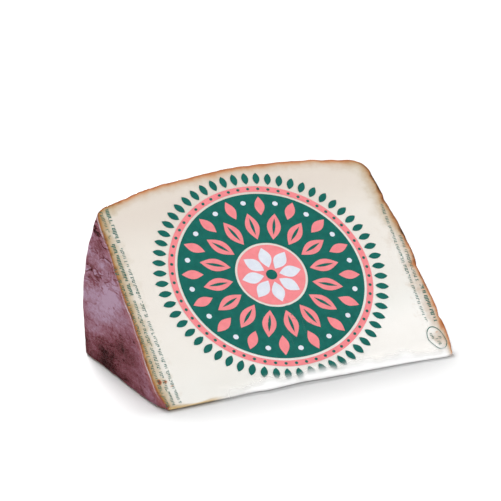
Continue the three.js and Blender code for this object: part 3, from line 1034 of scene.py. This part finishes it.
def print_piece(ink, shapes, kinds, lay, wrap, axis, material):
    """One ink's whole print, as a plain mesh just inside the film."""
    tree, _ = new_tree(f"print_{ink}", {})
    join = add(tree, "GeometryNodeJoinGeometry")
    for one in shapes:
        placed = {
            "Geometry": add(tree, "GeometryNodeGroup", one["sizes"], 0, node_tree=kinds[one["kind"]]),
            "Translation": (*one["at"], one["layer"] * INK_STEP),
            "Rotation": (0, 0, one["turn"]),
            "Scale": (*one["stretch"], 1.0),
        }
        tree.links.new(add(tree, "GeometryNodeTransform", placed, 0), join.inputs[0])
    laid = {
        "Flat": join.outputs[0], "Wrap": wrap, "Axis": axis, "Slope": WEDGE_ANGLE,
        "Depth": INK_DEPTH * MM,
    }
    laid = add(tree, "GeometryNodeGroup", laid, 0, node_tree=lay)
    soft = add(tree, "GeometryNodeSetShadeSmooth", {0: laid}, 0)
    whole = add(tree, "GeometryNodeRealizeInstances", {0: soft}, 0)
    inked = {"Geometry": whole, "Material": material}
    end_tree(tree, add(tree, "GeometryNodeSetMaterial", inked, 0))

    piece = bpy.data.objects.new(f"print_{ink}", bpy.data.meshes.new(f"print_{ink}"))
    bpy.context.scene.collection.objects.link(piece)
    modifier = piece.modifiers.new("print", "NODES")
    modifier.node_group = tree
    bpy.context.view_layer.update()
    evaluated = piece.evaluated_get(bpy.context.evaluated_depsgraph_get())
    plain = bpy.data.meshes.new_from_object(evaluated)
    piece.modifiers.clear()
    piece.data = plain
    return piece


# ---------------------------------------------------------------- the part
wrap_points, wrap_faces = wedge_mesh(outside_wrap, *WRAP_GRID)
box_low, box_high = (np.array(corner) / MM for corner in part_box(NODE))
skin_low, skin_high = wrap_points.min(axis=0), wrap_points.max(axis=0)
to_frame = (box_low + box_high - skin_low - skin_high) / 2
to_frame[2] = 0.0
wrap = add_mesh("wrap_film", wrap_points + to_frame, wrap_faces, film_material())
add_attributes(wrap, film_lie(*wrap_points.T))

cheese_points, cheese_faces = wedge_mesh(outside_cheese, *CHEESE_GRID)
aged = ageing_and_painted_light(*cheese_points.T)
cheese = add_mesh("cheese", cheese_points + to_frame, cheese_faces, cheese_material(aged))
add_attributes(cheese, aged)

shape_kinds = {"band": band_tree(), "petals": petal_tree(), "dashes": dash_tree()}
inks = {
    "green": ink_material("deep_green_ink", "#176C62", "#116158"),
    "salmon": ink_material("salmon_ink", "#F69297", "#EE888D"),
    "white": ink_material("white_ink", "#E5E9F2", "#DBE0EB"),
}
axis_in_frame = tuple(to_frame * MM)
lay = lay_tree()
prints = [
    print_piece(ink, shapes, shape_kinds, lay, wrap, axis_in_frame, inks[ink])
    for ink, shapes in motifs().items()
]

for piece in (wrap, cheese, *prints):
    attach(piece, "root")
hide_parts(NODE)

# ---------------------------------------------------------------- floor, light and camera
FLOOR_HALF = 3.0
FLOOR_DROP = 0.1 * MM  # keeps the floor clear of the wrap's flat underside
floor_corners = [
    (FLOOR_HALF * side, FLOOR_HALF * way, -FLOOR_DROP)
    for side, way in ((-1, -1), (1, -1), (1, 1), (-1, 1))
]
floor_mesh = bpy.data.meshes.new("floor")
floor_mesh.from_pydata(floor_corners, [], [(0, 1, 2, 3)])
floor = bpy.data.objects.new("floor", floor_mesh)
bpy.context.scene.collection.objects.link(floor)
# A matt painted studio table: pale, even and without gloss.
table, table_tree = new_material("matt_painted_table")
paint = {"Base Color": "#CCCCCC", "Roughness": 0.6}
paint = add(table_tree, "ShaderNodeBsdfPrincipled", paint, 0)
add(table_tree, "ShaderNodeOutputMaterial", {"Surface": paint})
floor_mesh.materials.append(table)

world = bpy.data.worlds.new("studio")
world.use_nodes = True
studio = world.node_tree
# White walls, and a ceiling that is darker, so that the lights make most of the shadows.
how_high = add(studio, SEPARATE, {0: add(studio, "ShaderNodeTexCoord", None, "Generated")}, "Z")
walls = add(studio, RANGE, {"Value": how_high, 1: 0.55, 2: 0.8, 3: 0.95, 4: 0.12}, 0)
studio.links.new(walls, studio.nodes["Background"].inputs["Strength"])
studio.nodes["Background"].inputs["Color"].default_value = (1, 1, 1, 1)
bpy.context.scene.world = world


def add_light(name, toward, strength, angle):
    """Even, soft light from one side: the direction it comes from and the width of its source."""
    lamp = bpy.data.lights.new(name, "SUN")
    lamp.energy = strength
    lamp.angle = math.radians(angle)
    light = bpy.data.objects.new(name, lamp)
    light.matrix_world = Vector(toward).to_track_quat("Z", "Y").to_matrix().to_4x4()
    bpy.context.scene.collection.objects.link(light)


add_light("front_wide", (-0.05, -0.8, 0.6), 0.85, 50)
add_light("front_near", (0.05, -0.8, 0.6), 0.55, 18)
add_light("back", (0.06, 0.752, 0.656), 4.4, 24)
add_light("left", (-0.82, 0.04, 0.57), 0.25, 14)

# The camera, fitted to the photograph's outline: angles in degrees, distances in metres,
# lens and sensor in millimetres.
CAMERA_AZIMUTH = -22.93
CAMERA_ELEVATION = 15.84
CAMERA_ROLL = 3.93
CAMERA_DISTANCE = 0.986
CAMERA_LENS = 202.6
CAMERA_SENSOR = 36.0
CAMERA_NEAR = 0.05
CAMERA_TARGET = Vector((0.0, 0.040, 0.025))
CAMERA_SHIFT = (-0.0203, 0.0692)


def add_camera():
    data = bpy.data.cameras.new("camera")
    data.lens = CAMERA_LENS
    data.sensor_width = CAMERA_SENSOR
    data.shift_x, data.shift_y = CAMERA_SHIFT
    data.clip_start = CAMERA_NEAR
    camera = bpy.data.objects.new("camera", data)
    azimuth, elevation = math.radians(CAMERA_AZIMUTH), math.radians(CAMERA_ELEVATION)
    back = Vector((
        math.sin(azimuth) * math.cos(elevation),
        -math.cos(azimuth) * math.cos(elevation),
        math.sin(elevation),
    ))
    target = CAMERA_TARGET + Vector(axis_in_frame)
    turn = back.to_track_quat("Z", "Y").to_matrix().to_4x4()
    roll = Matrix.Rotation(-math.radians(CAMERA_ROLL), 4, "Z")
    camera.matrix_world = Matrix.Translation(target + back * CAMERA_DISTANCE) @ turn @ roll
    bpy.context.scene.collection.objects.link(camera)
    bpy.context.scene.camera = camera


add_camera()
bpy.context.scene.view_settings.view_transform = "Standard"
